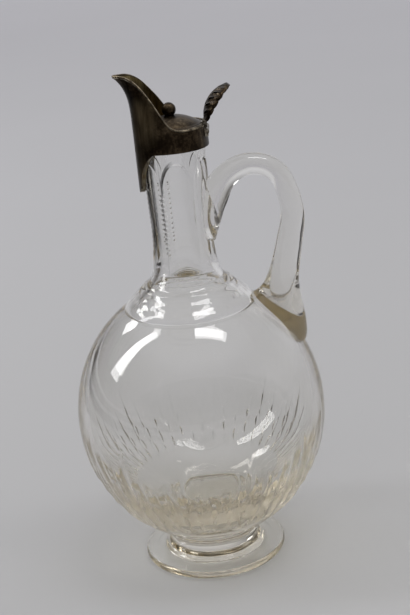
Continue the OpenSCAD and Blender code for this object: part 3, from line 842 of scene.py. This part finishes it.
def cement_material():
    """Old plaster-like cement with a sandy grain."""
    made, tree, shader = new_material("old_cement")
    grit = noise(tree, own_place(tree), 900.0, 5.0)
    colour = colour_stops(tree, grit, [(0.3, (0.34, 0.30, 0.23)), (0.7, (0.56, 0.52, 0.44))])
    feed(tree, shader, {"Base Color": colour, "Roughness": 0.9,
                        "Normal": bump(tree, grit, 0.6, 0.0002)})
    return made


# --- The pieces, each with its finish ----------------------------------------

def dress_glass(material):
    """Foot, bulb, neck, pad and handle as one glass, then hollowed."""
    vessel = piece("glass_vessel", *vessel_outside(), soft_angle=0)
    for form, operation in ((handle_pad, "UNION"), (glass_handle, "UNION"),
                            (vessel_hollow, "DIFFERENCE")):
        combine(vessel, piece("tool", *form(), soft_angle=0), operation)
    finish_piece(vessel, "jug", ("glass_body", "glass_foot", "glass_handle"),
                 material, 40)


def dress_mount():
    """The raised sheet and its edge wire, both opened for the hinge."""
    sheet = piece("spout_beak", *mount_sheet(), soft_angle=0)
    combine(sheet, hinge_notch(0), "DIFFERENCE")
    finish_piece(sheet, "jug", ("spout_mount",), beak_material(), 50)
    wire = piece("beak_edge_wire", *edge_wire(), soft_angle=0)
    combine(wire, hinge_notch(0.4), "DIFFERENCE")
    worn = silver_finish("worn_wire", 260.0, 0.2, 0.06, 0.02, 0.45, (0.60, 0.52, 0.38))
    finish_piece(wire, "jug", ("rim_wire",), worn, 50)


def dress_lid():
    """The domed cap, the ball on it and the pierced leaf behind it."""
    grey = silver_finish("lid_silver", 110.0, 0.1, 0.045, 0.04, 0.9, (0.50, 0.44, 0.33))
    piece("lid_cap", *turned(lid_cap()), "lid", ("lid_dome", "lid_rim"), "tarnished_silver",
          grey, 40)
    dark = silver_finish("ball_silver", 150.0, 0.0, -0.03, 0.05, 0.3)
    piece("lid_ball", *turned(ball_outline(), 96), "lid", ("finial_ball",), "tarnished_silver",
          dark, 40)
    verts, faces = leaf_grid()
    leaf = piece("pierced_leaf", on_leaf(verts), faces, soft_angle=0)
    for side in (-1, 1):
        for i in range(4):
            along, length = LEAF_LEN * (0.14 + VEIN_PITCH * i), 5.2 - 0.7 * abs(i - 1.5)
            combine(leaf, leaf_slot(side, along, length), "DIFFERENCE")
    rubbed = silver_finish("leaf_silver", 200.0, 0.1, 0.0, 0.04, 0.8, (0.40, 0.34, 0.24))
    finish_piece(leaf, "lid", ("thumb_leaf",), rubbed, 45)


def dress_small_parts():
    """Better finishes for the solids that are carried over as they are."""
    hinge = silver_finish("hinge_silver", 240.0, 0.1, -0.02, 0.04, 0.7)
    lining = silver_finish("liner_silver", 130.0, 0.2, 0.06, 0.04, 0.4)
    pin, _, pin_shader, _ = silver_nodes("pin_metal", 500.0, 0.1, 0.12, 0.03, 0.5)
    pin_shader.inputs["Anisotropic"].default_value = 0.3
    chosen = ((cement_material(), ("cement_bed",)), (lining, ("neck_liner", "lid_bezel")),
              (hinge, ("hinge_bearer", "hinge_knuckle_near", "hinge_knuckle_far",
                       "lid_knuckle", "lid_strap", "thumb_stem")),
              (pin, ("hinge_pin", "finial_stud", "finial_nut")))
    for finish, names in chosen:
        for name in names:
            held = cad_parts[name].data.materials
            held.clear()
            held.append(finish)


# --- Camera, floor and light -----------------------------------------------

PHOTO_H, SENSOR_MM = 615, 36.0
LENS_PX, CAM_BACK, CAM_UP = 1350.0, 707.4, 396.3
CAM_PAN, CAM_PITCH, CAM_ROLL, CAM_AZIMUTH = 0.01141, 0.3376, -0.10565, 3.0
FLOOR_Z, CARD_Z = -0.2, 1.0
FLOOR_SIDES, FLOOR_MID_R, FLOOR_R = 96, 300, 12000
LAMP_RADIANCE = 7.0
GLASS_BOUNCES = 32                  # light crosses many faces of the cut glass
CEILING, OVERHEAD = (0.72, 0.72, 0.75), (0.80, 0.80, 0.83)


def set_camera():
    """The photograph's viewpoint, with its slight roll."""
    forward = Vector((math.sin(CAM_PAN) * math.cos(CAM_PITCH),
                      math.cos(CAM_PAN) * math.cos(CAM_PITCH), -math.sin(CAM_PITCH)))
    level = Vector((math.cos(CAM_PAN), -math.sin(CAM_PAN), 0))
    over = level.cross(forward)
    right = math.cos(CAM_ROLL) * level + math.sin(CAM_ROLL) * over
    up = -math.sin(CAM_ROLL) * level + math.cos(CAM_ROLL) * over
    place = Matrix.Rotation(math.radians(CAM_AZIMUTH), 4, "Z") @ (
        Matrix.Translation(Vector((0, -CAM_BACK, CAM_UP)) * MM)
        @ Matrix([[right[i], up[i], -forward[i], 0] for i in range(3)] + [[0, 0, 0, 1]]))
    lens = bpy.data.cameras.new("view_camera")
    lens.sensor_fit = "VERTICAL"
    lens.sensor_height = SENSOR_MM
    lens.lens = LENS_PX / PHOTO_H * SENSOR_MM
    lens.clip_start, lens.clip_end = 0.01, 60
    holder = bpy.data.objects.new("view_camera", lens)
    bpy.context.collection.objects.link(holder)
    holder.matrix_world = place
    bpy.context.scene.camera = holder


def add_floor():
    """A pale floor with painted light: darker round the jug and paler far away, with a faint
    random tone.
    """
    rings = [np.array([(0, 0, FLOOR_Z)]), round_ring(FLOOR_MID_R, FLOOR_Z, FLOOR_SIDES),
             round_ring(FLOOR_R, FLOOR_Z, FLOOR_SIDES)]
    verts, faces = stitch(rings)
    floor = piece("studio_floor", verts, [face[::-1] for face in faces], soft_angle=0)
    made, tree, shader = new_material("studio_floor")
    place = own_place(tree)
    far = node(tree, "VectorMath", {0: place}, operation="LENGTH").outputs["Value"]
    paper = noise(tree, place, 3.0, 3.0)
    reach = plus(tree, far, span(tree, paper, 0.3, 0.7, -0.05, 0.05))
    # painted light: the floor colour goes from darker near the jug to paler far off, standing in
    # for how the light falls across it
    painted_light_tone = colour_stops(tree, span(tree, reach, 0.1, 3.2),
                        [(0.0, (0.485, 0.482, 0.480)), (0.25, (0.555, 0.552, 0.560)),
                         (1.0, (0.770, 0.762, 0.786))])
    feed(tree, shader, {"Base Color": painted_light_tone, "Roughness": 0.9})
    floor.data.materials.append(made)


def add_dark_card():
    """A dark card that lies left of the jug, out of the picture: it gives the
    clear glass its dark edges and lights nothing."""
    outline = ((-2200, -900), (-430, -900), (-430, 300), (-760, 1500), (-2600, 1500))
    card = piece("dark_card", [(x, y, CARD_Z) for x, y in outline], [(0, 1, 2, 3, 4)],
                 soft_angle=0)
    made, tree, shader = new_material("dark_card")
    feed(tree, shader, {"Base Color": (0.015, 0.012, 0.010, 1), "Roughness": 1.0,
                        "Specular IOR Level": 0.0})
    card.data.materials.append(made)
    card.visible_camera = False
    card.visible_diffuse = False
    card.visible_shadow = False


def add_lamp(name, centre, towards, wide, tall):
    """An area lamp in metres, facing a point. All the lamps are equally bright."""
    lamp = bpy.data.lights.new(name, "AREA")
    lamp.shape, lamp.size, lamp.size_y = "RECTANGLE", wide, tall
    lamp.energy = LAMP_RADIANCE * math.pi * wide * tall
    holder = bpy.data.objects.new(name, lamp)
    bpy.context.collection.objects.link(holder)
    holder.location = centre
    aim = (Vector(towards) - Vector(centre)).to_track_quat("-Z", "Y")
    holder.rotation_euler = aim.to_matrix().to_euler()
    holder.visible_camera = False


def add_light():
    """A grey room: even and pale to the back and right, dark to the left, dim in
    front, under one pale ceiling. Two windows and a panel are lamps."""
    world = bpy.data.worlds.new("studio")
    bpy.context.scene.world = world
    world.use_nodes = True
    tree = world.node_tree
    place = node(tree, "TexCoord").outputs["Generated"]
    at = node(tree, "SeparateXYZ", {"Vector": place}).outputs
    height = span(tree, at["Z"], -1, 1)
    open_side = colour_stops(tree, height, [
        (0.0, (0.45, 0.45, 0.45)), (0.5, (0.52, 0.52, 0.53)), (0.56, (0.62, 0.62, 0.64)),
        (0.66, (0.58, 0.58, 0.60)), (0.80, (0.48, 0.48, 0.50)), (0.90, CEILING),
        (1.0, OVERHEAD)])
    dark_side = colour_stops(tree, height, [
        (0.0, (0.40, 0.39, 0.37)), (0.47, (0.10, 0.08, 0.06)), (0.62, (0.030, 0.024, 0.018)),
        (0.80, (0.30, 0.30, 0.30)), (0.90, CEILING), (1.0, OVERHEAD)])
    room_side = colour_stops(tree, height, [
        (0.0, (0.40, 0.40, 0.40)), (0.48, (0.13, 0.12, 0.11)), (0.66, (0.15, 0.145, 0.14)),
        (0.82, (0.30, 0.30, 0.31)), (0.91, CEILING), (1.0, OVERHEAD)])
    around = blend_colours(tree, span(tree, at["Y"], -0.10, -0.55), open_side, room_side)
    around = blend_colours(tree, span(tree, at["X"], -0.25, -0.75), around, dark_side)
    feed(tree, tree.nodes["Background"], {"Color": around, "Strength": 1.0})
    add_lamp("window_left", (-1.5, 0.14, 1.75), (0, 0.14, 1.75), 0.33, 2.3)
    add_lamp("window_behind", (-1.34, 1.12, 1.32), (0, 0, 0.08), 0.34, 0.42)
    add_lamp("panel_above", (0.42, -0.2, 1.65), (0.42, -0.2, 0), 0.75, 0.3)


OLD_TARNISH = tarnish_group()
RUBBED_EDGES = wear_group()
dress_glass(glass_material())
dress_mount()
dress_lid()
dress_small_parts()
set_camera()
add_floor()
add_dark_card()
add_light()
bpy.context.scene.view_settings.view_transform = "Standard"
cycles = bpy.context.scene.cycles
cycles.max_bounces = cycles.glossy_bounces = cycles.transmission_bounces = GLASS_BOUNCES
